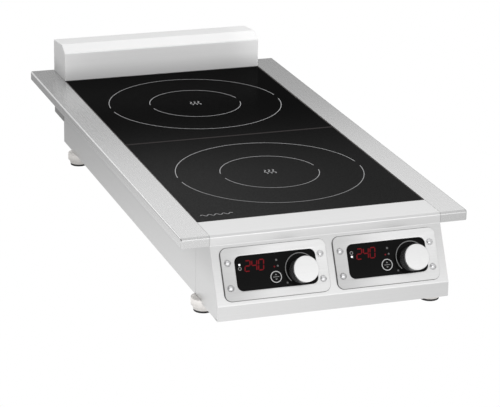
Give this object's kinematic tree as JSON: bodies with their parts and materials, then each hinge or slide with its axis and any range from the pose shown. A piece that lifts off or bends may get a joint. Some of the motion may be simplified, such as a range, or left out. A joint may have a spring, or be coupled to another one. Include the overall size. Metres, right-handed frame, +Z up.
{
  "type": "induction cooktop",
  "caption": "Long table-top induction cooktop with one cooking zone behind the other, side ledges, a rear exhaust upstand and a sloped control panel.",
  "frame": {"origin": "centre of the whole object's box on the surface it stands on", "axes": "+X to the right as the cook faces it, +Y to the back, +Z up"},
  "size_m": [0.4, 0.8618, 0.1776],
  "materials": {
    "brushed_steel": "fine brushed stainless steel",
    "bezel_steel": "brighter brushed stainless plate",
    "screw_steel": "bright turned steel",
    "inner_steel": "plain zinc-plated sheet",
    "satin_silver": "satin silver cap",
    "aluminium": "extruded mill finish",
    "chrome": "plated shaft",
    "foot_metal": "plated collar and neck, slightly satin",
    "black_glass": "polished black glass-ceramic",
    "black_gloss": "glossy black window",
    "black_plastic": "moulded black plastic",
    "silicone": "dark silicone",
    "rubber": "black rubber",
    "copper_wire": "stranded enamelled copper",
    "coil_carrier": "glass-filled grey plastic with ferrite bars",
    "circuit_board": "green board with black components"
  },
  "bodies": {
    "body": {"bezel_left": "bezel_steel", "bezel_right": "bezel_steel", "bezel_screw_left_1": "screw_steel", "bezel_screw_left_2": "screw_steel", "bezel_screw_left_3": "screw_steel", "bezel_screw_left_4": "screw_steel", "bezel_screw_right_1": "screw_steel", "bezel_screw_right_2": "screw_steel", "bezel_screw_right_3": "screw_steel", "bezel_screw_right_4": "screw_steel", "body_rear_wall": "inner_steel", "bottom_plate": "inner_steel", "cable_gland": "black_plastic", "cheek_left": "brushed_steel", "cheek_right": "brushed_steel", "coil_carrier_front": "coil_carrier", "coil_carrier_rear": "coil_carrier", "coil_front": "copper_wire", "coil_rear": "copper_wire", "control_board_left": "circuit_board", "control_board_right": "circuit_board", "fan_frame_front": "black_plastic", "fan_frame_rear": "black_plastic", "front_fascia": "brushed_steel", "glass_front": "black_glass", "glass_rear": "black_glass", "glass_seal": "silicone", "heat_sink_front": "aluminium", "heat_sink_rear": "aluminium", "mains_terminal": "black_plastic", "overlay_left": "black_gloss", "overlay_right": "black_gloss", "power_board_front": "circuit_board", "power_board_rear": "circuit_board", "rear_hood": "brushed_steel", "rear_panel": "brushed_steel", "side_panel_left": "brushed_steel", "side_panel_right": "brushed_steel", "support_tray": "inner_steel", "wing_left": "brushed_steel", "wing_right": "brushed_steel"},
    "knob_left": {"knob_body_left": "black_plastic", "knob_cap_left": "satin_silver", "encoder_shaft_left": "chrome"},
    "key_left": {"key_left": "black_gloss"},
    "knob_right": {"knob_body_right": "black_plastic", "knob_cap_right": "satin_silver", "encoder_shaft_right": "chrome"},
    "key_right": {"key_right": "black_gloss"},
    "fan_front": {"fan_rotor_front": "black_plastic"},
    "fan_rear": {"fan_rotor_rear": "black_plastic"},
    "foot_front_left": {"foot_cup_front_left": "foot_metal", "foot_pad_front_left": "rubber"},
    "foot_front_right": {"foot_cup_front_right": "foot_metal", "foot_pad_front_right": "rubber"},
    "foot_rear_left": {"foot_cup_rear_left": "foot_metal", "foot_pad_rear_left": "rubber"},
    "foot_rear_right": {"foot_cup_rear_right": "foot_metal", "foot_pad_rear_right": "rubber"}
  },
  "joints": [
    {"name": "knob_left_turn", "type": "hinge", "parent": "body", "child": "knob_left", "pos_m": [-0.0428, -0.40188, 0.06967], "axis": [0, -0.8919, 0.4522], "continuous": true},
    {"name": "key_left_press", "type": "slide", "parent": "body", "child": "key_left", "axis": [0, 0.8919, -0.4522], "range_m": [0, 0.0006], "stiffness_N_per_m": 800},
    {"name": "knob_right_turn", "type": "hinge", "parent": "body", "child": "knob_right", "pos_m": [0.1122, -0.40188, 0.06967], "axis": [0, -0.8919, 0.4522], "continuous": true},
    {"name": "key_right_press", "type": "slide", "parent": "body", "child": "key_right", "axis": [0, 0.8919, -0.4522], "range_m": [0, 0.0006], "stiffness_N_per_m": 800},
    {"name": "fan_front_spin", "type": "hinge", "parent": "body", "child": "fan_front", "pos_m": [0.04, -0.24294, 0.0518], "axis": [0, 1, 0], "continuous": true},
    {"name": "fan_rear_spin", "type": "hinge", "parent": "body", "child": "fan_rear", "pos_m": [0.04, 0.10206, 0.0518], "axis": [0, 1, 0], "continuous": true},
    {"name": "foot_front_left_level", "type": "slide", "parent": "body", "child": "foot_front_left", "axis": [0, 0, -1], "range_m": [0, 0.008]},
    {"name": "foot_front_right_level", "type": "slide", "parent": "body", "child": "foot_front_right", "axis": [0, 0, -1], "range_m": [0, 0.008]},
    {"name": "foot_rear_left_level", "type": "slide", "parent": "body", "child": "foot_rear_left", "axis": [0, 0, -1], "range_m": [0, 0.008]},
    {"name": "foot_rear_right_level", "type": "slide", "parent": "body", "child": "foot_rear_right", "axis": [0, 0, -1], "range_m": [0, 0.008]}
  ]
}
